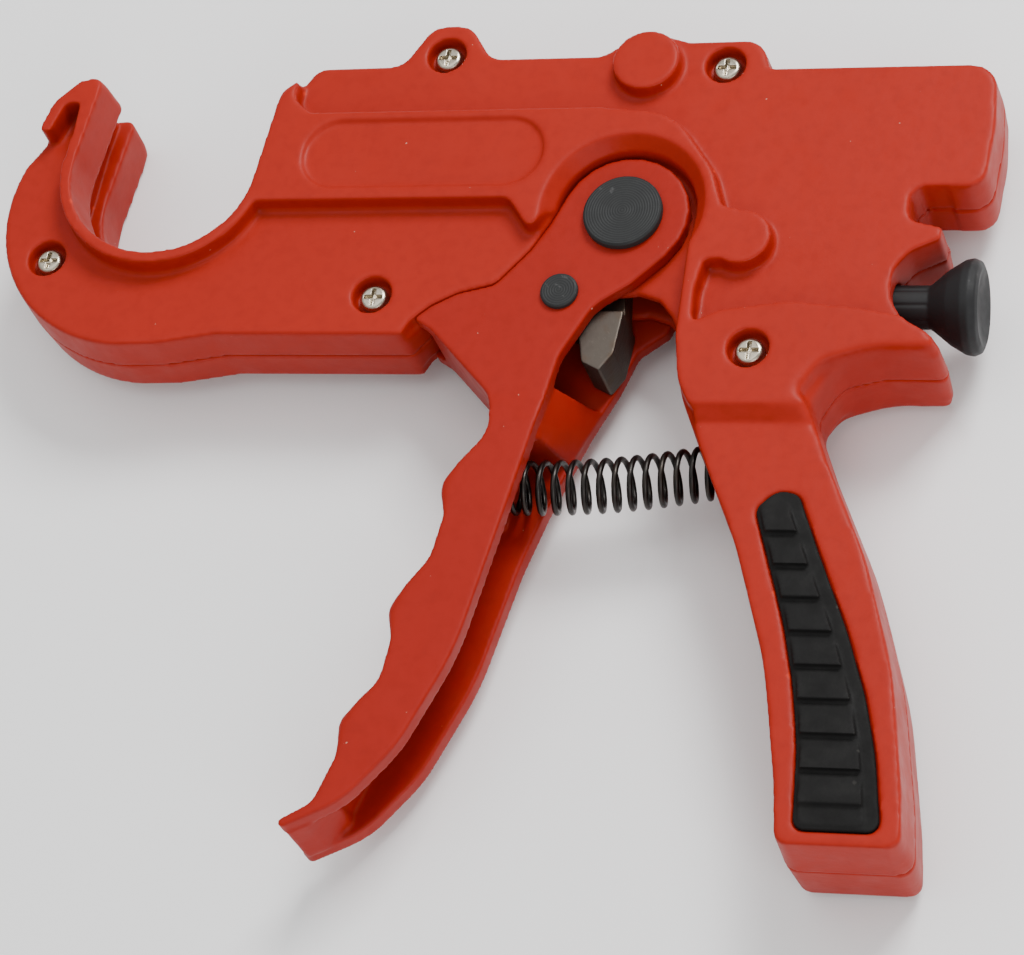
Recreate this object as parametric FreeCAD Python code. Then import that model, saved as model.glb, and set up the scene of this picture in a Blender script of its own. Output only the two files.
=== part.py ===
import FreeCAD, Part
import math
import os

# Ratchet pipe cutter for plastic pipe up to 42 mm, lying on its side.
# Design axes: main pivot pin at x = y = 0, parting plane of the two housing shells at z = 0.
# +X runs from the hook towards the rear block, +Y away from the handles, +Z out of the near shell.
# At export everything moves so that the origin is the bottom centre of the whole tool's box.

V = FreeCAD.Vector

# ---- driving dimensions, mm ----
FACE = 9.25            # low outer faces of the shells, and outer faces of the trigger plates
RAISED = 13.25         # raised panel, eye rim and handle faces
HOOK_TOP = 15.0        # rim round the jaw, the plane the tool lies on
NECK = 10.2            # handle face just under the raised region
PLATE_IN = 6.0         # inner faces of the trigger plates
SWELL = 0.8            # extra thickness of the plates along the fingers
JAW_X, JAW_Y, JAW_R = -103.5, 10.4, 21.0
HOOK_X, HOOK_Y, HOOK_R = -107.0, 3.0, 33.3
SLOT = 3.4             # half width of the blade slot in the hook
RIM = 2.6              # width of the raised rim round the jaw
LEFT, RIGHT = HOOK_X - HOOK_R, 75.3
TOP, BOTTOM = 48.0, -138.0

PIN_R, PIN_HEAD_R = 6.0, 8.4
SMALL_X, SMALL_Y, SMALL_R, SMALL_HEAD_R = -11.2, -18.4, 2.5, 4.0
EYE_R = 13.8
ROLLER_X, ROLLER_Y, ROLLER_R = 0.6, 36.0, 5.6
HOLD_X, HOLD_Y = 26.6, -7.6
KNOB_Y = -17.0
WHEEL_ROOM, WEB_IN, BUSH_R = 12.6, 3.7, 7.5
SCREWS = ((-45.2, 40.7, FACE), (17.2, 36.5, FACE), (-128.6, -9.2, FACE),
          (-52.3, -18.6, FACE), (31.0, -33.4, RAISED))
SCREW_R, SCREW_HEAD_R, WELL_R = 1.5, 3.0, 4.3
HEAD_SEAT = 3.4        # depth of the screw's seat below the face around it
RUN = 0.05             # radial clearance of a running fit

MODULE, TEETH = 1.5, 13
PITCH_R = MODULE * TEETH / 2
SAW_TEETH, SAW_TIP, SAW_ROOT = 18, 11.3, 9.6
RACK_TOP, RACK_FRONT, RACK_BACK, RACK_HALF = 30.2, -20.0, 66.0, 3.0
BLADE_TIP, BLADE_LOW, BLADE_HIGH, BLADE_HALF = -79.4, -11.2, 31.6, 1.0
RIVETS_X, RIVETS_Y = (-17.4, -11.6), 20.5
POST_X, POST_Y, POST_R = -2.4, 25.0, 1.4

SPRING_R, SPRING_WIRE = 5.0, 1.45
SPRING_A, SPRING_B, SPRING_TURNS = (-19.2, -58.8), (27.5, -53.9), 15.5


# ---- helpers ----
def corners(points):
    """Closed wire through corners (x, y, radius), each rounded by a tangent arc."""
    edges = []
    n = len(points)
    ends = []
    for i in range(n):
        x, y, r = points[i]
        p = V(x, y, 0)
        a = V(points[i - 1][0], points[i - 1][1], 0) - p
        b = V(points[(i + 1) % n][0], points[(i + 1) % n][1], 0) - p
        half = a.getAngle(b) / 2
        if r <= 0 or math.pi / 2 - half < 1e-3:
            ends.append((p, p, p))
            continue
        cut = min(r / math.tan(half), 0.49 * a.Length, 0.49 * b.Length)
        r = cut * math.tan(half)
        u, w = V(a).normalize(), V(b).normalize()
        middle = V(u + w).normalize()
        centre = p + middle * (r / math.sin(half))
        ends.append((p + u * cut, centre - middle * r, p + w * cut))
    for i in range(n):
        start, mid, stop = ends[i]
        if (stop - start).Length > 1e-6:
            edges.append(Part.Arc(start, mid, stop).toShape())
        after = ends[(i + 1) % n][0]
        if (after - stop).Length > 1e-6:
            edges.append(Part.LineSegment(stop, after).toShape())
    return Part.Wire(edges)


def slab(points, low, high):
    """Prism between two z values over a rounded outline."""
    face = Part.Face(corners(points))
    face.translate(V(0, 0, low))
    return face.extrude(V(0, 0, high - low))


def disc(x, y, r, low, high):
    """Cylinder along +Z between two z values."""
    return Part.makeCylinder(r, high - low, V(x, y, low))


def bar(x, y, z, r, length):
    """Cylinder along +X."""
    return Part.makeCylinder(r, length, V(x, y, z), V(1, 0, 0))


def block(x0, x1, y0, y1, z0, z1):
    """Box between two values on each axis."""
    return Part.makeBox(x1 - x0, y1 - y0, z1 - z0, V(x0, y0, z0))


def join(first, *others):
    """One solid from touching shapes, without the seams between them."""
    return first.fuse(list(others)).removeSplitter()


def flipped(shape):
    """Mirror image on the other side of the parting plane."""
    return shape.mirror(V(0, 0, 0), V(0, 0, 1))


# ---- outlines: (x, y, corner radius) ----
def jaw_arc(offset, first, last, steps=26):
    """Points on the jaw's circle, enlarged by offset, from one angle to another."""
    out = []
    for i in range(steps + 1):
        a = math.radians(first + (last - first) * i / steps)
        out.append((JAW_X + (JAW_R + offset) * math.cos(a), JAW_Y + (JAW_R + offset) * math.sin(a), 0))
    return out


def hook_arc(first, last, steps=22):
    """Points on the hook's outer circle from one angle to another."""
    out = []
    for i in range(steps + 1):
        a = math.radians(first + (last - first) * i / steps)
        out.append((HOOK_X + HOOK_R * math.cos(a), HOOK_Y + HOOK_R * math.sin(a), 0))
    return out


BODY = ([(-121.6, 33.8, 1.6), (-127.4, 32.6, 5), (-132.6, 27.2, 6), (-134.8, 19.6, 6)]
        + hook_arc(161, 268)
        + [(-99, -30.0, 10), (-86, -27.8, 12), (-44.5, -27.9, 2.0), (-39.5, -21.5, 3.0),
           (-19.0, -17.8, 1.0), (-13.6, -14.4, 1.0), (-8.2, -15.2, 2), (-3.0, -17.1, 3), (4.6, -16.4, 2),
           (9.3, -18.0, 2), (12.3, -21.6, 3), (14.9, -26.6, 2), (17.4, -41.5, 20), (22.6, -53.2, 40),
           (33.0, -75.4, 60), (41.9, -101.0, 80), (46.6, -125.0, 60), (48.3, BOTTOM, 2.5),
           (72.2, BOTTOM, 2.5), (71.0, -126.5, 60), (66.8, -102.0, 80), (59.0, -78.2, 60),
           (49.0, -57.2, 40), (43.4, -43.8, 5), (47.6, -35.6, 7), (57.0, -33.1, 12),
           (68.8, -33.4, 1.4), (68.6, -30.9, 2),
           (62.0, -26.9, 2), (57.4, -19.5, 8), (57.6, -13.2, 6), (60.6, -9.0, 5), (66.6, -6.2, 1.0),
           (66.9, -3.6, 1.6), (59.2, -1.6, 3.2), (59.2, 6.1, 3.4), (74.2, 6.1, 4),
           (75.3, 21, 30), (74.3, 35.0, 5.5), (26.6, 35.2, 1.6), (24.2, 42.4, 5.0), (8.6, 42.3, 2.5),
           (4.6, 43.6, 4.0), (-4.2, 43.6, 5), (-9.8, 39.3, 6), (-35.2, 39.3, 5), (-41.0, TOP, 4.6),
           (-49.2, TOP, 4.6), (-54.8, 38.0, 5), (-73.8, 37.8, 4), (-77.0, 33.2, 3), (-80.1, 30.4, 2.5)]
        + jaw_arc(0.0, -7, -192))

PANEL = [(-92.0, 2.3, 0), (-24.6, 2.4, 3.0), (-18.8, -5.6, 1.6), (-16.0, 0.0, 0), (0, 0, 0),
         (15.2, -17.5, 3), (15.0, -26.0, 10), (17.4, -41.0, 20), (20.4, -46.0, 1.0), (40.8, -45.8, 3.0),
         (45.6, -36.4, 6), (56.0, -33.4, 10), (68.6, -33.2, 1.2), (68.4, -31.0, 1.8), (61.2, -26.0, 4.0),
         (52.0, -24.2, 8), (38.0, -22.6, 14), (24.0, -24.6, 6), (18.6, -27.4, 0.8), (18.2, -20.0, 8),
         (19.4, -13.0, 0.8), (24.0, -12.6, 0), (27.0, -1.4, 3), (21.6, -0.2, 1.2), (18.6, 8.5, 12),
         (8.5, 22.4, 14), (-8.0, 24.2, 10), (-72.5, 24.2, 3), (-76.6, 27.6, 3), (-76.6, 34.5, 0),
         (-92.0, 34.5, 0)]

RECESS = [(-72.4, 5.3, 8.3), (-18.4, 5.3, 8.3), (-18.4, 22.2, 8.3), (-72.4, 22.2, 8.3)]

NEAR_REAR = [(9.9, -9.8, 2), (3.4, -16.4, 8), (-3.6, -21.2, 10), (-9.4, -33.0, 10), (-11.3, -45.0, 12),
             (-15.8, -70.4, 60), (-21.1, -99.7, 60), (-29.6, -120.0, 30), (-39.0, -132.0, 20)]
FAR_REAR = [(13.0, -6.4, 2), (8.4, -19.4, 2.5), (2.4, -24.2, 3), (-0.6, -33.0, 8), (-6.6, -46.2, 8),
            (-12.0, -61.0, 10), (-15.8, -74.0, 60), (-21.1, -99.7, 60), (-29.6, -120.0, 30),
            (-39.0, -132.0, 20)]
FINGERS = [(-50.6, -138.0, 1.2), (-51.6, -136.6, 1.0), (-45.0, -132.4, 5), (-41.6, -122.0, 6),
           (-42.9, -115.0, 4), (-35.6, -106.4, 8), (-34.6, -97.0, 6), (-36.9, -90.6, 4.5),
           (-29.4, -79.4, 9), (-28.0, -69.6, 5), (-30.4, -62.8, 4.5), (-21.4, -50.8, 8),
           (-22.8, -42.4, 8), (-38.0, -26.9, 3), (-42.2, -24.4, 0.8), (-38.6, -21.3, 3),
           (-33.4, -18.4, 5), (-25.6, -16.4, 4), (-19.0, -8.1, 8), (-15.6, -1.6, 8)]


POCKET_LEFT = [(15.0, -60.0, 0), (-60.0, -60.0, 0), (-43.1, -24.7, 0), (-38.9, -20.9, 3), (-33.5, -18.0, 5),
               (-25.7, -15.9, 4), (-19.3, -7.9, 8), (-15.9, -1.4, 8)]

HANDLE = [(20.4, -44.0, 0.5), (22.6, -53.2, 40), (33.0, -75.4, 60), (41.9, -101.0, 80), (46.6, -125.0, 60),
          (48.3, BOTTOM, 2.5), (72.2, BOTTOM, 2.5), (71.0, -126.5, 60), (66.8, -102.0, 80),
          (59.0, -78.2, 60), (49.0, -57.2, 40), (43.4, -43.8, 0.5)]
HANDLE_INSIDE = [(26.6, -57.5, 2), (36.6, -77.0, 50), (45.0, -101.0, 60), (50.0, -125.0, 40),
                 (51.2, -134.6, 2), (68.8, -134.6, 2), (67.6, -125.5, 40), (63.4, -102.0, 60),
                 (55.6, -78.6, 50), (46.0, -57.5, 2)]
JAW_INSIDE = [(-128.6, -18.0, 4), (-117.0, -25.6, 5), (-104.0, -27.0, 5), (-86.0, -24.6, 5),
              (-58.6, -24.6, 2), (-58.6, -12.6, 4), (-50.0, -11.4, 3), (-46.0, -16.0, 3), (-43.0, -20.0, 2),
              (-26.0, -14.0, 2), (-24.0, -1.0, 2), (-80.0, -1.0, 4), (-87.0, -11.0, 4), (-100.0, -15.6, 5),
              (-116.0, -13.6, 5), (-121.4, -8.6, 2), (-124.6, -14.6, 2)]
HOOK_SLOT = [(-128.2, -2.0, 1.5), (-100, -2.0, 0), (-100, 40.0, 0), (-124.6, 40.0, 0), (-126.6, 24.0, 3)]
PAWL_ROOM = [(-18.0, -11.0, 1), (0.0, -8.0, 0), (14.2, -12.0, 1), (14.2, -36.0, 1), (-18.0, -36.0, 1)]
HOLD_ROOM = [(8.0, 0.0, 1), (10.0, 5.0, 1), (17.0, 5.0, 2), (30.0, -1.6, 3), (33.0, -8.0, 3),
             (34.6, -12.4, 0.5), (34.6, -20.6, 0.5), (22.6, -20.6, 2), (21.6, -11.6, 2), (12.0, -6.6, 1)]


def trigger_outline(rear):
    """The eye round the main pin, the front shoulder, the finger grooves and one rear edge."""
    eye = []
    for i in range(13):
        a = math.radians(158 - i * 15.3)
        eye.append((EYE_R * math.cos(a), EYE_R * math.sin(a), 0))
    return eye + rear + FINGERS


# ---- housing shells ----
def rim_outline():
    """Raised rim round the jaw, widening into the hook's tip."""
    tip = [(-121.6, 33.8, 1.6), (-127.4, 32.6, 5), (-132.6, 27.2, 6), (-134.7, 19.6, 1.2),
           (-131.8, 19.8, 1.3), (-129.6, 26.6, 1.2), (-126.2, 27.2, 1.0), (-126.3, 20.0, 6)]
    outer = jaw_arc(RIM, -190, -7)
    inner = jaw_arc(0.0, -7, -192)
    return tip + outer + inner


def rim_body():
    """The rim at full height by the tip, falling to the raised panel's height at its other end."""
    rim = slab(rim_outline(), 0, HOOK_TOP)
    above = Part.makePolygon([V(-120.5, -40, HOOK_TOP), V(-60, -40, HOOK_TOP), V(-60, -40, RAISED - 0.8),
                              V(-82.0, -40, RAISED), V(-120.5, -40, HOOK_TOP)])
    return rim.cut(Part.Face(above).extrude(V(0, 90, 0)))


def lever_pocket(right):
    """Space for one trigger plate and for the eye, cut in the shell's side."""
    side = slab(POCKET_LEFT + [(-13.1, 5.4, 0), (8.0, 8.0, 0), (right, 4.0, 3), (right, -26.0, 0)],
                PLATE_IN - 0.1, HOOK_TOP + 1)
    return side.fuse(disc(0.4, -0.2, 15.3, PLATE_IN - 0.1, HOOK_TOP + 1))


def shell_half(right):
    """One shell, on the positive side of the parting plane."""
    base = slab(BODY, 0, FACE)
    panel = slab(PANEL, 0, RAISED).common(slab(BODY, -1, RAISED + 1))
    handle = slab(HANDLE, 0, RAISED)
    slope = Part.makePolygon([V(0, -45.5, RAISED + 0.01), V(0, -49.0, NECK),
                              V(0, BOTTOM + 2, RAISED + 0.01), V(0, -45.5, RAISED + 0.01)])
    handle = handle.cut(Part.Face(slope).extrude(V(100, 0, 0)))
    rim = rim_body()
    top_boss = disc(ROLLER_X, ROLLER_Y, 7.2, 0, 12.8)
    side_boss = disc(HOLD_X - 0.2, HOLD_Y, 6.2, 0, RAISED)
    half = join(base, panel, handle, rim, top_boss, side_boss)
    half = half.cut(slab(RECESS, RAISED - 1.0, RAISED + 1))
    chamfer = Part.makeCone(15.4, 17.9, RAISED - FACE - 0.8, V(0.4, -0.2, FACE + 0.8))
    half = half.cut([chamfer, lever_pocket(right)])
    return half.cut(cavities())


def cavities():
    """What each shell leaves free inside: channels, pockets, bores and screw holes."""
    return [
        block(-66.5, 70.0, 11.2, RACK_TOP + 0.4, -1, RACK_HALF + 0.3),
        block(-58.5, 55.5, 7.9, 11.5, -1, RACK_HALF + 0.3),
        block(-112.0, -20.4, BLADE_LOW - 0.8, BLADE_HIGH + 0.8, -1, BLADE_HALF + 0.35),
        slab(HOOK_SLOT, -1, SLOT),
        slab(HANDLE_INSIDE, -1, 8.2),
        slab(JAW_INSIDE, -1, 6.2),
        disc(0, 0, WHEEL_ROOM, -1, WEB_IN),
        disc(0, 0, BUSH_R + 0.02, -1, PLATE_IN + 0.2),
        slab(PAWL_ROOM, -1, WEB_IN),
        slab(HOLD_ROOM, -1, 3.8),
        disc(ROLLER_X, ROLLER_Y, ROLLER_R + 0.5, -1, 3.4),
        disc(ROLLER_X, ROLLER_Y, 2.52, -1, 9.0),
        disc(HOLD_X, HOLD_Y, 2.52, -1, 9.0),
        disc(POST_X, POST_Y, POST_R + 0.02, -1, 6.5),
        bar(11.0, KNOB_Y, 0, 2.05, 60),
        bar(40.0, KNOB_Y, 0, 3.8, 12.0),
        bar(50.2, KNOB_Y, 0, 4.65, 24.0),
        bar(16.0, SPRING_B[1] + 0.1, 0, 6.6, 12.6),
    ]


def near_shell():
    """Front shell: clearance holes and wells for the screws."""
    holes = [disc(x, y, SCREW_R + 0.25, -1, 20) for x, y, face in SCREWS]
    wells = [disc(x, y, WELL_R, face - HEAD_SEAT, face + 6) for x, y, face in SCREWS]
    return shell_half(15.6).cut(holes + wells + [pad_block(-1.2, 5.0, 0.25)])


def far_shell():
    """Back shell: blind holes for the screws' threads."""
    holes = [disc(x, y, SCREW_R + 0.05, -1, 6.4) for x, y, face in SCREWS]
    return flipped(shell_half(16.4).cut(holes + [pad_block(-1.2, 5.0, 0.25)]))


# ---- grip pads ----
PAD_CREST = HOOK_TOP - (NECK + (RAISED - NECK) * (130.4 - 49.0) / 87.0)
PAD_SEAT = [(40.3, -64.0, 5.0), (36.2, -68.2, 2.5), (40.6, -80.7, 60), (44.8, -92.8, 60),
            (48.1, -105.4, 60), (50.4, -118.0, 60), (51.6, -135.2, 2.2), (68.0, -135.2, 2.2),
            (65.6, -120.4, 60), (62.6, -108.6, 60), (57.4, -94.4, 60), (49.4, -76.4, 60),
            (44.6, -65.0, 2.5)]


def handle_face(y):
    """Height of the handle's sloping outer face."""
    return NECK + (RAISED - NECK) * (-49.0 - y) / 87.0


def pad_block(low, high, grow):
    """Prism over the pad's outline between two planes parallel to the handle's face."""
    profile = Part.makePolygon([V(30, -60, handle_face(-60) + low), V(30, -137, handle_face(-137) + low),
                                V(30, -137, handle_face(-137) + high), V(30, -60, handle_face(-60) + high),
                                V(30, -60, handle_face(-60) + low)])
    layer = Part.Face(profile).extrude(V(45, 0, 0))
    face = Part.Face(corners(PAD_SEAT))
    if grow:
        face = face.makeOffset2D(grow)
    face.translate(V(0, 0, 5))
    return face.extrude(V(0, 0, 15)).common(layer)


def grip_pad():
    """Rubber pad with nine overlapping steps, each rising towards the handle's end."""
    first, last, steps = -66.5, -130.4, 9
    pitch = (last - first) / steps
    profile = [V(30, -60, handle_face(-60) - 1.15), V(30, -60, handle_face(-60) + 0.4)]
    for i in range(steps):
        y = first + pitch * i
        profile.append(V(30, y, handle_face(y) + 0.4))
        profile.append(V(30, y + pitch, handle_face(y + pitch) + PAD_CREST))
    profile.append(V(30, last, handle_face(last) + 0.9))
    profile.append(V(30, -137, handle_face(last) + 0.9))
    profile.append(V(30, -137, handle_face(-137) - 1.15))
    profile.append(profile[0])
    ribs = Part.Face(Part.makePolygon(profile)).extrude(V(45, 0, 0))
    face = Part.Face(corners(PAD_SEAT)).makeOffset2D(-0.9)
    face.translate(V(0, 0, 5))
    inside = face.extrude(V(0, 0, 15))
    left = inside.copy()
    left.translate(V(-1.9, 0, 0))
    return join(pad_block(-1.15, 0.45, 0), inside.common(left).common(ribs))


# ---- pins, bushes, screws ----
def main_pin():
    """Turned pin with a low head, held by a clip at the far side."""
    shank = disc(0, 0, PIN_R, -FACE - 1.9, FACE + 0.2)
    head = disc(0, 0, PIN_HEAD_R, FACE + 0.1, FACE + 2.0)
    head = head.makeChamfer(0.4, [e for e in head.Edges if e.BoundBox.ZMin > FACE + 1.9])
    pin = join(shank, head)
    groove = disc(0, 0, PIN_R + 1, -FACE - 1.5, -FACE - 0.3).cut(disc(0, 0, PIN_R - 0.7, -FACE - 2, FACE))
    return pin.cut(groove)


def pin_clip():
    """External retaining ring in the main pin's groove."""
    ring = disc(0, 0, PIN_HEAD_R, -FACE - 1.45, -FACE - 0.35).cut(disc(0, 0, PIN_R - 0.65, -20, 20))
    return ring.cut(block(-1.6, 1.6, 3, 12, -20, 0))


def pivot_bush():
    """Bronze bush in each shell's web, round the main pin."""
    return disc(0, 0, BUSH_R, WEB_IN + 0.05, PLATE_IN - 0.15).cut(disc(0, 0, PIN_R + RUN, -1, 20))


def pawl_pin():
    """Small riveted pin that carries the driving pawl between the trigger plates."""
    shank = disc(SMALL_X, SMALL_Y, SMALL_R, -FACE - 0.1, FACE + 0.1)
    near = disc(SMALL_X, SMALL_Y, SMALL_HEAD_R, FACE + 0.03, FACE + 1.2)
    near = near.makeFillet(0.5, [e for e in near.Edges if e.BoundBox.ZMin > FACE + 1.1])
    far = flipped(near)
    return join(shank, near, far)


def plain_pin(x, y):
    """Dowel that stands in both shells."""
    return disc(x, y, 2.5, -8.95, 8.95)


def housing_screw(x, y, face):
    """Pan-head screw with a cross recess."""
    seat = face - HEAD_SEAT + 0.03
    head = disc(x, y, SCREW_HEAD_R, seat, seat + 2.3)
    head = head.makeFillet(1.1, [e for e in head.Edges if e.BoundBox.ZMin > seat + 2.2])
    shank = disc(x, y, SCREW_R, seat - 10.5, seat + 0.1)
    cross = [block(x - 2.0, x + 2.0, y - 0.45, y + 0.45, seat + 0.9, seat + 4),
             block(x - 0.45, x + 0.45, y - 2.0, y + 2.0, seat + 0.9, seat + 4)]
    return join(head, shank).cut(cross)


# ---- trigger ----
def web(rear, low, high):
    """Front wall of the trigger: the strip of its outline along the fingers."""
    outline = trigger_outline(rear)
    whole = slab(outline, low, high)
    inner = slab(outline, low - 1, high + 1)
    inner.translate(V(2.3, 2.0, 0))
    strip = whole.cut(inner)
    keep = slab([(-60, -145, 0), (-10, -145, 0), (-20, -60, 0), (-18, -38, 0), (-30, -28, 0),
                 (-37.6, -24.4, 0), (-41.6, -29.6, 0), (-60, -29.6, 0)], low - 1, high + 1)
    strip = strip.common(keep)
    return max(strip.Solids, key=lambda s: s.Volume)


def grip_swell(rear):
    """Slightly thicker plate along the fingers, rising over a soft slope under the eye."""
    top = FACE + SWELL
    profile = [(-40.5, FACE - 0.2), (-41.5, FACE), (-48.5, top), (-145, top), (-145, FACE - 0.2),
               (-40.5, FACE - 0.2)]
    band = Part.Face(Part.makePolygon([V(-70, y, z) for y, z in profile])).extrude(V(80, 0, 0))
    return slab(trigger_outline(rear), FACE - 1, FACE + 2).common(band)


def bridge(near, far):
    """Solid block between the trigger plates, from one four-cornered outline to another."""
    wires = []
    for outline, z in ((far, -PLATE_IN - 0.4), (near, PLATE_IN + 0.4)):
        points = [V(x, y, z) for x, y in outline]
        wires.append(Part.makePolygon(points + [points[0]]))
    return Part.makeLoft(wires, True, True)


def trigger_lever():
    """Two plates joined by the finger wall, the block under the pawl, the spring seat and the tip."""
    near = slab(trigger_outline(NEAR_REAR), PLATE_IN, FACE)
    far = slab(trigger_outline(FAR_REAR), -FACE, -PLATE_IN)
    front = web(NEAR_REAR, -PLATE_IN - 0.5, PLATE_IN + 0.5)
    stop = bridge([(-22, -37.2), (-10.8, -38.6), (-11.8, -50.6), (-23.2, -51.6)],
                  [(-22, -37.2), (-3.0, -38.6), (-8.2, -50.6), (-23.2, -51.6)])
    seat = bar(-22.6, SPRING_A[1], 0, 3.6, 5.4)
    seat_wall = block(-27.5, -20.2, -65.5, -52.0, -PLATE_IN - 0.5, PLATE_IN + 0.5)
    seat_wall = seat_wall.common(slab(trigger_outline(NEAR_REAR), -20, 20))
    tip = slab([(-51.2, -137.0, 0.5), (-50.0, -138.0, 0.5), (-46.0, -136.0, 2), (-41.8, -130.6, 2),
                (-42.6, -126.0, 1), (-44.8, -131.6, 3)], -PLATE_IN - 0.5, PLATE_IN + 0.5)
    swells = [grip_swell(NEAR_REAR), flipped(grip_swell(FAR_REAR))]
    lever = join(near, far, front, stop, seat_wall, seat, tip, *swells)
    holes = [disc(0, 0, PIN_R + RUN, -20, 20), disc(SMALL_X, SMALL_Y, SMALL_R + 0.02, -20, 20)]
    return lever.cut(holes)


# ---- ratchet mechanism ----
def involute_tooth(side, base, tip_r, half_angle, steps=5):
    """Points of one tooth flank from the base circle to the tip."""
    points = []
    for i in range(steps):
        r = base + (tip_r - base) * i / (steps - 1)
        t = math.sqrt(max(0.0, (r / base) ** 2 - 1))
        a = half_angle - (t - math.atan(t))
        points.append((r, side * a))
    return points


def pinion_outline(backlash):
    """Spur gear outline with a tooth space at the top, where the rack's tooth stands."""
    base = PITCH_R * math.cos(math.radians(20))
    tip = PITCH_R + 1.25
    root = PITCH_R - 1.65
    t_pitch = math.sqrt((PITCH_R / base) ** 2 - 1)
    half = math.pi / (2 * TEETH) - backlash / PITCH_R / 2 + (t_pitch - math.atan(t_pitch))
    points = []
    for k in range(TEETH):
        centre = math.pi / 2 + (2 * math.pi) * (k + 0.5) / TEETH
        left = involute_tooth(-1, base, tip, half)
        right = involute_tooth(1, base, tip, half)
        points.append((root, centre - half - 0.02))
        points += [(r, centre + a) for r, a in left]
        points += [(r, centre + a) for r, a in reversed(right)]
        points.append((root, centre + half + 0.02))
    return [(r * math.cos(a), r * math.sin(a), 0) for r, a in points]


def ratchet_outline():
    """Saw teeth whose steep flanks face clockwise, so that both pawls bear on them."""
    points = []
    for k in range(SAW_TEETH):
        a = 2 * math.pi * k / SAW_TEETH
        points.append((SAW_ROOT * math.cos(a), SAW_ROOT * math.sin(a), 0))
        points.append((SAW_TIP * math.cos(a + 0.03), SAW_TIP * math.sin(a + 0.03), 0))
    return points


def drive_wheel():
    """Narrow pinion between two ratchet discs, turning on the main pin."""
    pinion = slab(pinion_outline(0.3), -2.0, 2.0)
    saw = ratchet_outline()
    wheel = join(pinion, slab(saw, 1.9, 3.5), slab(saw, -3.5, -1.9))
    return wheel.cut(disc(0, 0, PIN_R + RUN, -20, 20))


def rack():
    """Blade carrier: a tall steel bar with teeth on its lower edge behind the blade."""
    pitch = math.pi * MODULE
    low = PITCH_R + 1.75
    top = PITCH_R - 1.0
    flank = math.tan(math.radians(20))
    body = slab([(RACK_FRONT, low, 0.5), (RACK_BACK, low, 0.5), (RACK_BACK, RACK_TOP, 1.5),
                 (RACK_FRONT, RACK_TOP, 1.5)], -RACK_HALF, RACK_HALF)
    teeth = []
    for k in range(-2, 12):
        x = k * pitch
        at_low = pitch / 4 + (low - PITCH_R) * flank - 0.05
        at_top = pitch / 4 - (PITCH_R - top) * flank - 0.05
        teeth.append(slab([(x - at_low, low + 0.1, 0), (x - at_top, top, 0), (x + at_top, top, 0),
                           (x + at_low, low + 0.1, 0)], -1.7, 1.7))
    bar_solid = join(body, *teeth)
    slot = block(RACK_FRONT - 1, -7.6, 0, 40, -BLADE_HALF - 0.02, BLADE_HALF + 0.02)
    window = slab([(-4.2, 22.2, 1.2), (61.5, 22.2, 1.2), (61.5, 27.8, 1.2), (-4.2, 27.8, 1.2)], -4, 4)
    rivets = [disc(x, RIVETS_Y, 2.02, -5, 5) for x in RIVETS_X]
    return bar_solid.cut([slot, window] + rivets)


def blade():
    """Ground blade with a pointed front, as tall as the largest pipe, and a tongue held by the carrier."""
    nose, below, above = (BLADE_TIP, JAW_Y), (-76.4, JAW_Y - 11.8), (-76.4, JAW_Y + 11.8)
    lower, upper = (-60.0, BLADE_LOW), (-60.0, BLADE_HIGH)
    outline = [(*nose, 1.0), (*below, 14), (*lower, 3), (-24.0, BLADE_LOW, 2), (-22.0, 12.4, 1),
               (-8.0, 12.4, 1), (-8.0, 28.6, 1), (-22.0, 29.4, 1), (-30.0, BLADE_HIGH, 2), (*upper, 3),
               (*above, 14)]
    plate = slab(outline, -BLADE_HALF, BLADE_HALF)
    bevels = []
    for a, b in ((nose, below), (below, lower), (nose, above), (above, upper)):
        along = V(b[0] - a[0], b[1] - a[1], 0).normalize()
        inward = V(abs(along.y), -along.x if along.y > 0 else along.x, 0)
        start = V(a[0], a[1], 0) - along * 4 - inward * 0.8
        for side in (1, -1):
            edge, face = start + V(0, 0, side * 0.05), start + inward * 4.4 + V(0, 0, side * 1.02)
            profile = Part.makePolygon([edge, face, start + V(0, 0, side * 1.6), edge])
            length = math.hypot(b[0] - a[0], b[1] - a[1]) + 4
            bevels.append(Part.Face(profile).extrude(along * length))
    plate = plate.cut(bevels)
    plate = plate.cut([disc(x, RIVETS_Y, 2.02, -5, 5) for x in RIVETS_X])
    return max(plate.Solids, key=lambda solid: solid.Volume)


def blade_rivet(x):
    """Flush rivet through the carrier and the blade's tongue."""
    return disc(x, RIVETS_Y, 2.0, -RACK_HALF, RACK_HALF)


def roller():
    """Steel roller that carries the load on top of the blade carrier."""
    body = disc(ROLLER_X, ROLLER_Y, ROLLER_R, -3.0, 3.0)
    return body.cut(disc(ROLLER_X, ROLLER_Y, 2.5 + RUN, -20, 20))


DRIVE_PAWL = [(-15.0, -20.0, 3.0), (-13.6, -15.0, 3.4), (-8.0, -14.6, 3), (-4.4, -17.4, 3),
              (-1.6, -12.0, 0.5), (0.6, -12.0, 0.4), (1.2, -17.6, 3), (1.8, -21.6, 1.0),
              (1.0, -30.6, 0.6), (-1.6, -34.6, 0.6), (-5.6, -32.6, 1.0), (-7.6, -24.0, 2)]
HOLD_PAWL = [(11.9, -1.4, 0.3), (13.2, 0.9, 0.6), (20.0, -2.0, 3), (28.6, -3.6, 3.0), (31.0, -8.0, 3.4),
             (28.6, -12.0, 1.5), (28.2, -14.6, 0.6), (25.4, -14.6, 0.6), (24.0, -10.4, 2), (17.0, -6.4, 3)]


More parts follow.
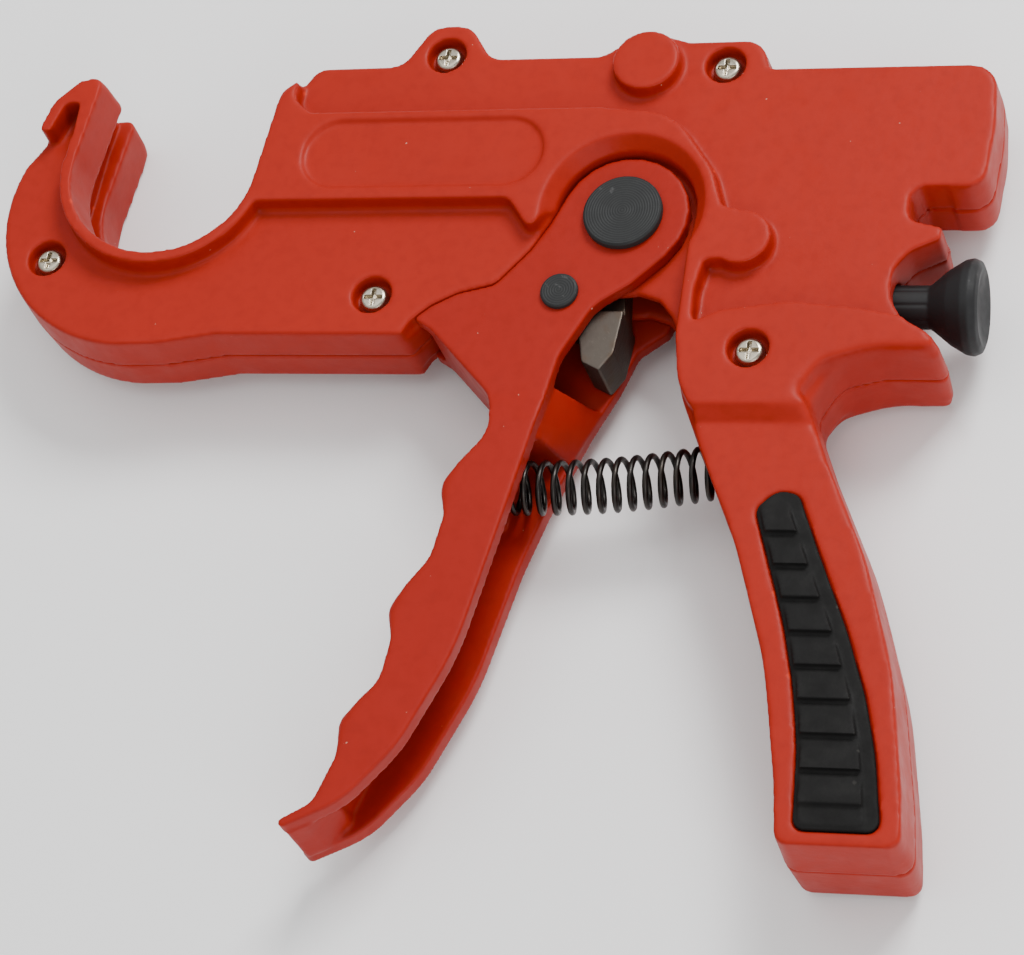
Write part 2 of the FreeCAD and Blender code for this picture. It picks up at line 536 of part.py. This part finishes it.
def drive_pawl():
    """Pawl between the trigger plates; its nose is thinned to pass between the webs."""
    body = slab(DRIVE_PAWL, -5.7, 5.7)
    recess = disc(SMALL_X, SMALL_Y, 3.6, -1.6, 1.6)
    sides = disc(0, 0, 20.8, 3.3, 7)
    return body.cut([disc(SMALL_X, SMALL_Y, SMALL_R + RUN, -20, 20), recess, sides, flipped(sides)])


def holding_pawl():
    """Pawl that keeps the wheel from turning back, with a tail for the release collar."""
    body = slab(HOLD_PAWL, -3.4, 3.4)
    return body.cut([disc(HOLD_X, HOLD_Y, 2.5 + RUN, -20, 20), disc(HOLD_X, HOLD_Y, 3.9, -1.6, 1.6)])


def coil(radius, wire, pitch, turns, start, direction):
    """Helical spring: a round wire swept along a helix from start, along direction."""
    helix = Part.makeHelix(pitch, pitch * turns, radius)
    circle = Part.makeCircle(wire / 2, V(radius, 0, 0), V(0, 1, pitch / (2 * math.pi * radius)))
    spring = Part.Wire(helix.Edges).makePipeShell([Part.Wire(circle)], True, True)
    spring.Placement = FreeCAD.Placement(V(*start), FreeCAD.Rotation(V(0, 0, 1), V(*direction)))
    return spring


def trigger_spring():
    """Open coil between the trigger's seat and the handle."""
    dx, dy = SPRING_B[0] - SPRING_A[0], SPRING_B[1] - SPRING_A[1]
    length = math.hypot(dx, dy) - SPRING_WIRE
    start = (SPRING_A[0] + dx * 0.016, SPRING_A[1] + dy * 0.016, 0)
    return coil(SPRING_R, SPRING_WIRE, length / SPRING_TURNS, SPRING_TURNS, start, (dx, dy, 0))


def pawl_spring(x, y, radius):
    """Small torsion coil round a pawl's pin."""
    return coil(radius, 0.7, 0.8, 3.0, (x, y, -1.2), (0, 0, 1))


def return_spring():
    """Compression spring in the carrier's window, between the fixed post and the window's rear end."""
    return coil(2.05, 0.5, 2.5, 24.6, (POST_X + POST_R + 0.3, POST_Y, 0), (1, 0, 0))


# ---- release ----
def release_rod():
    """Rod with the collar that lifts the holding pawl and the stop under the knob."""
    rod = bar(16.0, KNOB_Y, 0, 2.0, 44.0)
    collar = bar(31.2, KNOB_Y, 0, 3.2, 3.0)
    stop = bar(51.6, KNOB_Y, 0, 3.5, 1.6)
    return join(rod, collar, stop)


def release_knob():
    """Black knob: a ribbed shank and a bell-shaped head with a dished end."""
    profile = [(54.6, 2.0), (54.6, 4.5), (64.4, 4.5), (65.2, 5.1), (68.4, 7.7), (71.6, 9.6),
               (73.2, 9.9), (74.6, 9.3), (75.1, 8.0), (73.8, 3.0), (73.5, 0.0), (60.2, 0.0), (60.2, 2.0),
               (54.6, 2.0)]
    wire = Part.makePolygon([V(x, KNOB_Y + r, 0) for x, r in profile])
    knob = Part.Face(wire).revolve(V(0, KNOB_Y, 0), V(1, 0, 0), 360)
    grooves = []
    for i in range(8):
        a = math.radians(22.5 + 45 * i)
        grooves.append(bar(50.0, KNOB_Y + 4.75 * math.cos(a), 4.75 * math.sin(a), 0.5, 14.4))
    return knob.cut(grooves)


def release_spring():
    """Coil that pushes the release rod back out."""
    return coil(2.8, 0.8, 1.6, 6.5, (40.6, KNOB_Y, 0), (1, 0, 0))


# ---- assembly ----
def nodes():
    """Every piece by name, in the design axes."""
    screws = [housing_screw(*s) for s in SCREWS]
    rivets = [blade_rivet(x) for x in RIVETS_X]
    bush = pivot_bush()
    pad = grip_pad()
    return {
        "near_shell": near_shell(),
        "far_shell": far_shell(),
        "housing_screws": Part.makeCompound(screws),
        "grip_pad_near": pad,
        "grip_pad_far": flipped(pad),
        "main_pin": main_pin(),
        "pin_clip": pin_clip(),
        "pivot_bush_near": bush,
        "pivot_bush_far": flipped(bush),
        "roller_pin": plain_pin(ROLLER_X, ROLLER_Y),
        "return_spring_post": disc(POST_X, POST_Y, POST_R, -6.4, 6.4),
        "backing_roller": roller(),
        "holding_pawl_pin": plain_pin(HOLD_X, HOLD_Y),
        "holding_pawl": holding_pawl(),
        "holding_pawl_spring": pawl_spring(HOLD_X, HOLD_Y, 3.4),
        "trigger_lever": trigger_lever(),
        "pawl_pin": pawl_pin(),
        "drive_pawl": drive_pawl(),
        "drive_pawl_spring": pawl_spring(SMALL_X, SMALL_Y, 3.1),
        "trigger_spring": trigger_spring(),
        "drive_wheel": drive_wheel(),
        "blade_carrier": rack(),
        "blade": blade(),
        "blade_rivets": Part.makeCompound(rivets),
        "blade_return_spring": return_spring(),
        "release_rod": release_rod(),
        "release_knob": release_knob(),
        "release_spring": release_spring(),
    }


def main():
    """Moves every piece to the export frame and writes one STEP file for each."""
    os.makedirs("parts", exist_ok=True)
    shift = V(-(LEFT + RIGHT) / 2, -(TOP + BOTTOM) / 2, HOOK_TOP)
    for name, shape in nodes().items():
        shape.translate(shift)
        box = shape.BoundBox
        print("%-22s solids %d valid %s volume %.0f  x %.1f..%.1f y %.1f..%.1f z %.1f..%.1f" % (
            name, len(shape.Solids), shape.isValid(), shape.Volume,
            box.XMin, box.XMax, box.YMin, box.YMax, box.ZMin, box.ZMax))
        shape.exportStep("parts/%s.step" % name)


main()
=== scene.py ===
import math

import bpy
import numpy as np
from mathutils import Matrix, Vector
from mathutils.bvhtree import BVHTree


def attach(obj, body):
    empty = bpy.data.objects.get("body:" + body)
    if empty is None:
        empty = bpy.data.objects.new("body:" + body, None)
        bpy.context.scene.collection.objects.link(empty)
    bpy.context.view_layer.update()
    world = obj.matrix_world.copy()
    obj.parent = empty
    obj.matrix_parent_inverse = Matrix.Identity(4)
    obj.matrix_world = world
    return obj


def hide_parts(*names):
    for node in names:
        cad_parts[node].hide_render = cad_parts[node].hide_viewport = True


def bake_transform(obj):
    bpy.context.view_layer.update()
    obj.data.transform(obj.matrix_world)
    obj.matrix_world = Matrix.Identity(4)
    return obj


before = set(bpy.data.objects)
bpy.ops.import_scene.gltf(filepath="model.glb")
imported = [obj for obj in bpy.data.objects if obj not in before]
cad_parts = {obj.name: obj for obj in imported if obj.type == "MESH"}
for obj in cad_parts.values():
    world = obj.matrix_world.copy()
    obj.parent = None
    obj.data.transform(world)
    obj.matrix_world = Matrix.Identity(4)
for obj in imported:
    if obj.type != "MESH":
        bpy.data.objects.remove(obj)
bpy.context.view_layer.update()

# Design axes, as in the solids: main pin at x = y = 0, parting plane at z = 0. Row frame = design + SHIFT.
SHIFT = Vector((0.0325, 0.045, 0.015))
MM = 0.001
RAISED = 13.25          # mm, height of the shells' raised faces over the parting plane
HOOK_SPOT = 14.5        # mm, the same near the rim round the jaw
JAW_SIDE = -100         # mm, x of the line past which the rim stands
WALL_LEAN = 2.6         # degrees, how far the shells' outer walls lean outward
INNER_REACH = 21.0      # mm, a wall with another wall nearer than this is an inner one
RAY_START = 0.8         # mm, so that a wall doesn't meet itself
UPRIGHT = 0.3           # a vertex leans only if more of its normal than this is level
KNOB_X = 55             # mm, the hollow round the knob lies past this x
KNOB_Y = (-29, -4)      # mm, and between these
CRISP = 0.5             # mm, this near the parting plane an edge isn't smoothed
FADE = 1.5              # mm, over which the smoothing comes in
SPOT_STEPS = 60         # smoothing steps where an edge is rounded much more
SENSOR = 36.0           # mm
LENS = 123.046875       # mm


def at(x, y, z=0.0):
    """Design millimetres to row metres."""
    return Vector((x * MM, y * MM, z * MM)) + SHIFT


# ---- camera, floor and light ----
def place_camera():
    """Long lens above the handles' side, tilted as the tool is seen."""
    data = bpy.data.cameras.new("camera")
    data.sensor_width = SENSOR
    data.lens = LENS
    data.clip_end = 10.0
    right = Vector((0.95450, 0.14435, -0.26095))
    down = Vector((0.01170, -0.89248, -0.45093))
    forward = Vector((-0.29798, 0.42736, -0.85356))
    turn = Matrix((right, -down, -forward)).transposed().to_4x4()
    obj = bpy.data.objects.new("camera", data)
    bpy.context.collection.objects.link(obj)
    obj.matrix_world = Matrix.Translation(at(194.31, -361.33, 608.9)) @ turn
    bpy.context.scene.camera = obj


def plain_material(name, colour, roughness):
    """One even colour, for the floor."""
    m = bpy.data.materials.new(name)
    m.use_nodes = True
    shader = m.node_tree.nodes["Principled BSDF"]
    shader.inputs["Base Color"].default_value = (*colour, 1.0)
    shader.inputs["Roughness"].default_value = roughness
    return m


def place_floor():
    """Pale floor just under the tool."""
    bpy.ops.mesh.primitive_plane_add(size=6.0, location=(0, 0, -0.0004))
    floor = bpy.context.object
    floor.name = "floor"
    floor.data.materials.append(plain_material("floor_paper", (0.93, 0.93, 0.93), 0.8))


def area_light(name, position, target, size, power):
    """Square soft light aimed at a point."""
    data = bpy.data.lights.new(name, "AREA")
    data.size = size
    data.energy = power
    obj = bpy.data.objects.new(name, data)
    bpy.context.collection.objects.link(obj)
    obj.location = position
    obj.rotation_euler = (Vector(target) - Vector(position)).to_track_quat("-Z", "Y").to_euler()


def place_lights():
    """Three soft lights and an even white surround."""
    area_light("key", (0.45, 0.75, 0.95), (0, 0, 0), 0.5, 17.0)
    area_light("fill", (0.7, -0.9, 0.6), (0, 0, 0), 0.9, 7.0)
    area_light("top", (-0.3, 0.1, 1.5), (0, 0, 0), 1.4, 8.0)
    world = bpy.data.worlds.new("studio")
    world.use_nodes = True
    background = world.node_tree.nodes["Background"]
    background.inputs["Color"].default_value = (1.0, 1.0, 1.0, 1.0)
    background.inputs["Strength"].default_value = 0.6
    bpy.context.scene.world = world


# ---- materials ----
class Graph:
    """Small helper for building a shader from textures in object space."""

    def __init__(self, name, colour, roughness, metallic=0.0, specular=0.5):
        self.material = bpy.data.materials.new(name)
        self.material.use_nodes = True
        self.tree = self.material.node_tree
        self.shader = self.tree.nodes["Principled BSDF"]
        self.shader.inputs["Metallic"].default_value = metallic
        self.shader.inputs["Specular IOR Level"].default_value = specular
        self.position = self.tree.nodes.new("ShaderNodeTexCoord").outputs["Object"]
        self.colour = self.rgb(colour)
        self.shader.inputs["Roughness"].default_value = roughness
        self.roughness = None
        self.normal = None

    def rgb(self, colour):
        """Output of a constant colour."""
        node = self.tree.nodes.new("ShaderNodeRGB")
        node.outputs[0].default_value = (*colour, 1.0)
        return node.outputs[0]

    def noise(self, scale, detail=3.0, stretch=(1.0, 1.0, 1.0)):
        """Noise value, finer for a larger scale."""
        mapping = self.tree.nodes.new("ShaderNodeMapping")
        mapping.inputs["Scale"].default_value = stretch
        self.tree.links.new(self.position, mapping.inputs["Vector"])
        node = self.tree.nodes.new("ShaderNodeTexNoise")
        node.inputs["Scale"].default_value = scale
        node.inputs["Detail"].default_value = detail
        self.tree.links.new(mapping.outputs[0], node.inputs["Vector"])
        return node.outputs["Fac"]

    def ramp(self, value, low, high, to_low=0.0, to_high=1.0):
        """Maps low..high to to_low..to_high, clamped."""
        node = self.tree.nodes.new("ShaderNodeMapRange")
        node.inputs["From Min"].default_value = low
        node.inputs["From Max"].default_value = high
        node.inputs["To Min"].default_value = to_low
        node.inputs["To Max"].default_value = to_high
        self.tree.links.new(value, node.inputs["Value"])
        return node.outputs["Result"]

    def math(self, operation, a, b):
        """Math node over two sockets or numbers."""
        node = self.tree.nodes.new("ShaderNodeMath")
        node.operation = operation
        for socket, value in zip(node.inputs, (a, b)):
            if isinstance(value, (int, float)):
                socket.default_value = value
            else:
                self.tree.links.new(value, socket)
        return node.outputs[0]

    def mix(self, factor, colour):
        """Lays another colour over the present one."""
        node = self.tree.nodes.new("ShaderNodeMix")
        node.data_type = "RGBA"
        self.tree.links.new(factor, node.inputs["Factor"])
        self.tree.links.new(self.colour, node.inputs["A"])
        self.tree.links.new(self.rgb(colour), node.inputs["B"])
        self.colour = node.outputs["Result"]

    def bump(self, height, strength, distance):
        """Adds a height to the surface normal."""
        node = self.tree.nodes.new("ShaderNodeBump")
        node.inputs["Strength"].default_value = strength
        node.inputs["Distance"].default_value = distance
        self.tree.links.new(height, node.inputs["Height"])
        if self.normal is not None:
            self.tree.links.new(self.normal, node.inputs["Normal"])
        self.normal = node.outputs["Normal"]

    def edges(self, low, high):
        """Value that rises on convex edges, or in hollows when low is above high."""
        geometry = self.tree.nodes.new("ShaderNodeNewGeometry")
        return self.ramp(geometry.outputs["Pointiness"], low, high)

    def radius(self, centre):
        """Distance from an axis parallel to Z through centre, in metres."""
        node = self.tree.nodes.new("ShaderNodeVectorMath")
        node.operation = "SUBTRACT"
        node.inputs[1].default_value = centre
        self.tree.links.new(self.position, node.inputs[0])
        flat = self.tree.nodes.new("ShaderNodeVectorMath")
        flat.operation = "MULTIPLY"
        flat.inputs[1].default_value = (1.0, 1.0, 0.0)
        self.tree.links.new(node.outputs[0], flat.inputs[0])
        size = self.tree.nodes.new("ShaderNodeVectorMath")
        size.operation = "LENGTH"
        self.tree.links.new(flat.outputs[0], size.inputs[0])
        return size.outputs["Value"]

    def done(self):
        """Links the last colour, roughness and normal, and gives the material."""
        self.tree.links.new(self.colour, self.shader.inputs["Base Color"])
        if self.roughness is not None:
            self.tree.links.new(self.roughness, self.shader.inputs["Roughness"])
        if self.normal is not None:
            self.tree.links.new(self.normal, self.shader.inputs["Normal"])
        return self.material


def enamel(name, colour):
    """Semi-matt paint over a casting: slight waviness, convex edges painted paler (partly rubbed wear, partly a
    painted highlight), painted shade darkening the hollows, a few dust specks.
    """
    g = Graph(name, colour, 0.42, specular=0.14)
    g.mix(g.ramp(g.noise(30.0), 0.35, 0.75, 0.0, 0.25), tuple(c * 0.8 for c in colour))
    g.mix(g.ramp(g.noise(420.0, 4.0), 0.45, 0.75, 0.0, 0.3), tuple(c * 0.7 for c in colour))
    # convex edges mixed to a paler red: partly rubbed wear, partly a painted highlight where the edges catch
    # the light
    g.mix(g.edges(0.54, 0.66), (0.52, 0.030, 0.010))
    # painted shade: hollows and creases darkened to 0.45 of the paint colour
    g.mix(g.edges(0.48, 0.40), tuple(c * 0.45 for c in colour))
    g.mix(g.ramp(g.noise(900.0, 1.0), 0.815, 0.830), (0.45, 0.20, 0.15))
    g.roughness = g.ramp(g.noise(160.0), 0.3, 0.7, 0.38, 0.52)
    g.bump(g.noise(900.0, 2.0), 0.10, 0.0003)
    g.bump(g.noise(120.0, 2.0), 0.12, 0.0012)
    return g.done()


def rubber(name):
    """Matt black rubber with a fine grain."""
    g = Graph(name, (0.0075, 0.0072, 0.007), 0.7, specular=0.14)
    g.mix(g.ramp(g.noise(300.0), 0.5, 0.8, 0.0, 0.5), (0.015, 0.0145, 0.0135))
    g.mix(g.edges(0.56, 0.68), (0.035, 0.033, 0.030))
    g.roughness = g.ramp(g.noise(220.0), 0.3, 0.7, 0.6, 0.8)
    g.bump(g.noise(1500.0, 2.0), 0.25, 0.0002)
    return g.done()


def steel(name, colour, roughness, grain=(1.0, 1.0, 12.0), stain=(0.10, 0.06, 0.035), staining=0.4):
    """Worn steel with a drawn grain and brown stains."""
    g = Graph(name, colour, roughness, 1.0)
    g.mix(g.ramp(g.noise(260.0), 0.5, 0.8, 0.0, staining), stain)
    g.mix(g.edges(0.64, 0.84), tuple(min(1.0, c * 1.4 + 0.02) for c in colour))
    g.roughness = g.ramp(g.noise(420.0, 3.0, grain), 0.3, 0.7, roughness - 0.08, roughness + 0.12)
    g.bump(g.noise(1200.0, 2.0, grain), 0.2, 0.0001)
    return g.done()


def turned(name, colour, centre, roughness=0.34):
    """Lathe-turned steel with concentric rings round an axis."""
    g = Graph(name, colour, roughness, 0.2, 0.2)
    rings = g.math("SINE", g.math("MULTIPLY", g.radius(centre), 2 * math.pi / 0.00055), 0.0)
    g.mix(g.ramp(rings, -1.0, 1.0, 0.0, 0.35), tuple(c * 1.6 + 0.01 for c in colour))
    g.mix(g.ramp(g.noise(300.0), 0.5, 0.8, 0.0, 0.5), (0.018, 0.018, 0.020))
    g.mix(g.edges(0.58, 0.74), (0.07, 0.07, 0.07))
    g.roughness = g.ramp(g.noise(350.0), 0.3, 0.7, roughness - 0.06, roughness + 0.12)
    g.bump(rings, 0.35, 0.00006)
    g.bump(g.noise(900.0), 0.12, 0.0001)
    return g.done()


def plastic(name, colour):
    """Moulded plastic, a little rubbed at the edges."""
    g = Graph(name, colour, 0.5, specular=0.3)
    g.mix(g.edges(0.56, 0.70), (0.03, 0.03, 0.03))
    g.roughness = g.ramp(g.noise(300.0), 0.3, 0.7, 0.5, 0.66)
    g.bump(g.noise(1400.0, 2.0), 0.12, 0.0001)
    return g.done()


# ---- pieces ----
def new_piece(name, mesh):
    """Object in the scene for a mesh."""
    obj = bpy.data.objects.new(name, mesh)
    bpy.context.collection.objects.link(obj)
    return obj


def modified(obj):
    """Bakes an object's modifiers into its mesh."""
    bpy.context.view_layer.update()
    graph = bpy.context.evaluated_depsgraph_get()
    mesh = bpy.data.meshes.new_from_object(obj.evaluated_get(graph))
    obj.modifiers.clear()
    obj.data = mesh
    return obj


def softened(node, name, body, material, voxel, passes, keep=1.0, draft=0.0, height=0.0, spots=()):
    """The node's shape with its edges rounded, as a casting or a moulding has them.

    voxel is the mesh size in mm, passes the smoothing steps, keep the share of faces kept.
    draft opens the walls towards the parting plane, from a face at height mm.
    spots are (x, y, z, radius) in design mm where the edges are rounded much more."""
    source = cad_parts[node]
    mesh = source.data.copy()
    mesh.transform(source.matrix_world)
    obj = new_piece(name, mesh)
    remesh = obj.modifiers.new("remesh", "REMESH")
    remesh.mode = "VOXEL"
    remesh.voxel_size = voxel * MM
    modified(obj)
    if draft:
        open_walls(obj.data, mesh, math.radians(draft), height)
        mark_parting(obj)
    if spots:
        mark_spots(obj, spots)
        strong = obj.modifiers.new("strong", "SMOOTH")
        strong.factor = 0.5
        strong.iterations = SPOT_STEPS
        strong.vertex_group = "spots"
    smooth = obj.modifiers.new("smooth", "SMOOTH")
    smooth.factor = 0.5
    smooth.iterations = passes
    if draft:
        smooth.vertex_group = "off_parting"
    if keep < 1.0:
        decimate = obj.modifiers.new("decimate", "DECIMATE")
        decimate.ratio = keep
    modified(obj)
    finish_piece(obj, node, body, material)
    return obj


def places_and_normals(mesh):
    """Vertex places and normals of a mesh as two arrays."""
    count = len(mesh.vertices)
    place = np.empty(count * 3, dtype=np.float32)
    normal = np.empty(count * 3, dtype=np.float32)
    mesh.vertices.foreach_get("co", place)
    mesh.vertices.foreach_get("normal", normal)
    return place.reshape(-1, 3), normal.reshape(-1, 3)


def add_group(obj, name, weight):
    """Vertex group with weights rounded to tenths."""
    group = obj.vertex_groups.new(name=name)
    tenths = np.round(weight * 10)
    for level in range(1, 11):
        group.add(np.nonzero(tenths == level)[0].tolist(), level / 10, "REPLACE")


def mark_spots(obj, spots):
    """Vertex group "spots", strongest at each spot's centre."""
    place = places_and_normals(obj.data)[0]
    weight = np.zeros(len(place))
    for x, y, z, radius in spots:
        away = np.linalg.norm(place - np.array(at(x, y, z)), axis=1) / (radius * MM)
        weight = np.maximum(weight, np.clip(1.4 * (1.0 - away), 0.0, 1.0))
    add_group(obj, "spots", weight)


def mark_parting(obj):
    """Vertex group "off_parting", zero at the parting plane so that edge stays crisp."""
    place = places_and_normals(obj.data)[0]
    away = np.abs(place[:, 2] - SHIFT.z) / MM
    add_group(obj, "off_parting", np.clip((away - CRISP) / FADE, 0.0, 1.0))


def open_walls(mesh, source, angle, height):
    """Leans the outer walls outward towards the parting plane.

    A wall that faces another wall of source within INNER_REACH mm is an inner one and stays upright."""
    place, normal = places_and_normals(mesh)
    tree = BVHTree.FromPolygons([v.co for v in source.vertices], [p.vertices for p in source.polygons])
    flat = np.linalg.norm(normal[:, :2], axis=1)
    x, y = (place[:, 0] - SHIFT.x) / MM, (place[:, 1] - SHIFT.y) / MM
    by_knob = (x > KNOB_X) & (y > KNOB_Y[0]) & (y < KNOB_Y[1])
    lean = np.zeros(len(place))
    for i in np.nonzero((flat > UPRIGHT) & ~by_knob)[0]:
        way = Vector((*(normal[i, :2] / flat[i]), 0.0))
        start = Vector(place[i]) + way * RAY_START * MM
        if tree.ray_cast(start, way, INNER_REACH * MM)[0] is None:
            lean[i] = 1.0
    depth = np.clip(height * MM - np.abs(place[:, 2] - SHIFT.z), 0.0, None) * lean
    place[:, :2] += normal[:, :2] * (depth * math.tan(angle))[:, None]
    mesh.vertices.foreach_set("co", place.ravel())
    mesh.update()


def finish_piece(obj, node, body, material):
    """Material, smooth shading, and the body and node that the piece goes with."""
    obj.data.materials.clear()
    obj.data.materials.append(material)
    for polygon in obj.data.polygons:
        polygon.use_smooth = True
    if body:
        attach(obj, body)
    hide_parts(node)


def coil(name, start, end, radius, wire, turns, dead=1.3, sides=12, per_turn=28, sag=0.0):
    """Round-wire spring with closed end coils between two points, all in design mm.

    dead is the number of closed turns at each end, sag how far the middle hangs down."""
    axis = Vector(end) - Vector(start)
    length = axis.length - wire
    forward = axis.normalized()
    side = forward.cross(Vector((0, 0, 1))).normalized()
    up = side.cross(forward)
    count = int(turns * per_turn)
    live = (length - 2 * dead * wire) / (turns - 2 * dead)
    centres = []
    for i in range(count + 1):
        t = turns * i / count
        front = min(t, dead) + max(0.0, t - (turns - dead))
        middle = min(max(t - dead, 0.0), turns - 2 * dead)
        along = wire / 2 + front * wire + middle * live
        a = 2 * math.pi * t
        centres.append(Vector(start) + forward * along + (side * math.cos(a) + up * math.sin(a)) * radius)
    verts = []
    for i, centre in enumerate(centres):
        a = 2 * math.pi * turns * i / count
        out = side * math.cos(a) + up * math.sin(a)
        centre = centre - Vector((0, sag * math.sin(math.pi * i / count), 0))
        for k in range(sides):
            b = 2 * math.pi * k / sides
            verts.append(at(*(centre + (out * math.cos(b) + forward * math.sin(b)) * wire / 2)))
    faces = []
    for i in range(count):
        for k in range(sides):
            n = (k + 1) % sides
            faces.append((i * sides + k, i * sides + n, (i + 1) * sides + n, (i + 1) * sides + k))
    faces.append(tuple(range(sides - 1, -1, -1)))
    faces.append(tuple(count * sides + k for k in range(sides)))
    mesh = bpy.data.meshes.new(name)
    mesh.from_pydata(verts, [], faces)
    mesh.update()
    return new_piece(name, mesh)


def build():
    red = enamel("red_enamel_cast", (0.335, 0.0145, 0.0065))
    red_lever = enamel("red_enamel_lever", (0.30, 0.0115, 0.0055))
    black_rubber = rubber("grip_rubber")
    bright = steel("bright_pin_steel", (0.42, 0.42, 0.41), 0.30)
    forged = steel("forged_steel", (0.10, 0.085, 0.072), 0.5, staining=0.7)
    wire = steel("oiled_wire", (0.035, 0.032, 0.030), 0.34, staining=0.2)
    ground = steel("ground_blade", (0.55, 0.55, 0.55), 0.22, (1.0, 14.0, 1.0))
    nickel = steel("screw_nickel", (0.50, 0.45, 0.36), 0.26, stain=(0.22, 0.17, 0.10))
    bronze = steel("sintered_bronze", (0.36, 0.20, 0.08), 0.42)
    black = plastic("knob_plastic", (0.008, 0.008, 0.0085))
    pin_dark = turned("main_pin_turned", (0.020, 0.021, 0.021), at(0, 0), 0.55)
    small_dark = turned("pawl_pin_turned", (0.020, 0.021, 0.021), at(-11.2, -18.4), 0.55)

    soft_edges = ((43.5, -45, 8), (44.5, -42, 8), (48.5, -37, 7), (53.5, -35, 6), (59.5, -34, 5),
                  (64.5, -34, 4), (68.5, -33, 4), (-121, 33, 3), (-78.6, 33.4, 6))
    for side, sign in (("near", 1), ("far", -1)):
        spots = [(x, y, sign * (HOOK_SPOT if x < JAW_SIDE else RAISED), r) for x, y, r in soft_edges]
        softened(side + "_shell", side + "_shell_cast", "housing", red, 0.5, 6, 0.7, WALL_LEAN, RAISED, spots)
        softened("grip_pad_" + side, "grip_pad_moulded_" + side, "housing", black_rubber, 0.3, 3, 0.8)
    bumps = ((-42.9, -115.0), (-36.9, -90.6), (-30.4, -62.8))
    knuckles = [(x, y, side, 6) for x, y in bumps for side in (9, -9)]
    softened("trigger_lever", "trigger_cast", "trigger", red_lever, 0.42, 4, 0.9, spots=knuckles)
    softened("main_pin", "main_pin_turned", "housing", pin_dark, 0.2, 2, 0.6)
    softened("pawl_pin", "pawl_pin_turned", "trigger", small_dark, 0.15, 2, 0.6)
    softened("housing_screws", "housing_screws_plated", "housing", nickel, 0.13, 2, 0.6)
    softened("release_knob", "release_knob_moulded", "release", black, 0.25, 3, 0.8)
    softened("drive_pawl", "drive_pawl_forged", "driving_pawl", forged, 0.2, 3, 0.7)

    for node, material in (("pin_clip", wire), ("pivot_bush_near", bronze), ("pivot_bush_far", bronze),
                           ("roller_pin", bright), ("return_spring_post", bright), ("backing_roller", bright),
                           ("holding_pawl_pin", bright), ("holding_pawl", forged), ("drive_wheel", forged),
                           ("blade_carrier", forged), ("blade", ground), ("blade_rivets", bright),
                           ("release_rod", bright), ("holding_pawl_spring", wire), ("drive_pawl_spring", wire)):
        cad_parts[node].data.materials.clear()
        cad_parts[node].data.materials.append(material)

    main_spring = coil("trigger_spring_wire", (-19.2, -58.8, 0), (27.5, -53.9, 0), 5.1, 1.25, 16.0, sag=1.5)
    finish_piece(main_spring, "trigger_spring", None, wire)
    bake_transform(main_spring)
    back_spring = coil("blade_return_spring_wire", (-0.7, 25, 0), (61.2, 25, 0), 2.05, 0.5, 25,
                       sides=8, per_turn=20)
    finish_piece(back_spring, "blade_return_spring", None, wire)
    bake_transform(back_spring)
    knob_spring = coil("release_spring_wire", (40.3, -17.0, 0), (51.4, -17.0, 0), 2.8, 0.8, 6.5)
    finish_piece(knob_spring, "release_spring", None, wire)
    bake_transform(knob_spring)


place_camera()
place_floor()
place_lights()
build()
